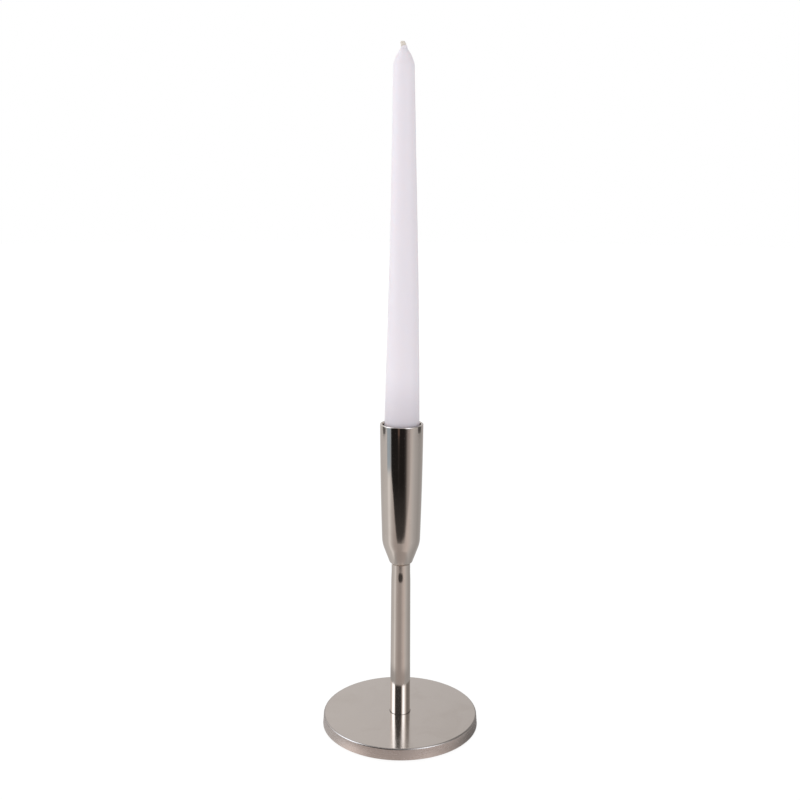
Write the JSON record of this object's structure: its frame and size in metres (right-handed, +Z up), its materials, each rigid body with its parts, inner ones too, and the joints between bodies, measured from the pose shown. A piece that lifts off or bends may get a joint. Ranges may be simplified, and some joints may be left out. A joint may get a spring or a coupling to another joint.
{
  "type": "candlestick",
  "caption": "Tall slim candlestick with a flat round base, a slender tapered stem and a deep round cup that holds a lift-out dinner candle.",
  "frame": {"origin": "centre of the underside of the felt pad, on the surface that the candlestick stands on", "axes": "+Z up along the candlestick's axis; the wick leans towards -X; -Y is the front"},
  "size_m": [0.1, 0.1, 0.4261],
  "materials": {
    "nickel_plate": "polished",
    "zinc_steel": "satin",
    "felt": "matte",
    "wax": "satin",
    "cotton_wick": "matte"
  },
  "bodies": {
    "candlestick": {"felt_pad": "felt", "base_plate": "nickel_plate", "tie_bolt": "zinc_steel", "base_washer": "zinc_steel", "stem": "nickel_plate", "cup_shell": "nickel_plate", "cup_washer": "zinc_steel", "lock_washer": "zinc_steel", "cup_nut": "zinc_steel", "candle_seat": "zinc_steel"},
    "candle": {"candle": "wax", "wick": "cotton_wick"}
  },
  "joints": [
    {"name": "candle_lift", "type": "slide", "parent": "candlestick", "child": "candle", "axis": [0, 0, 1], "range_m": [0, 0.05]}
  ]
}
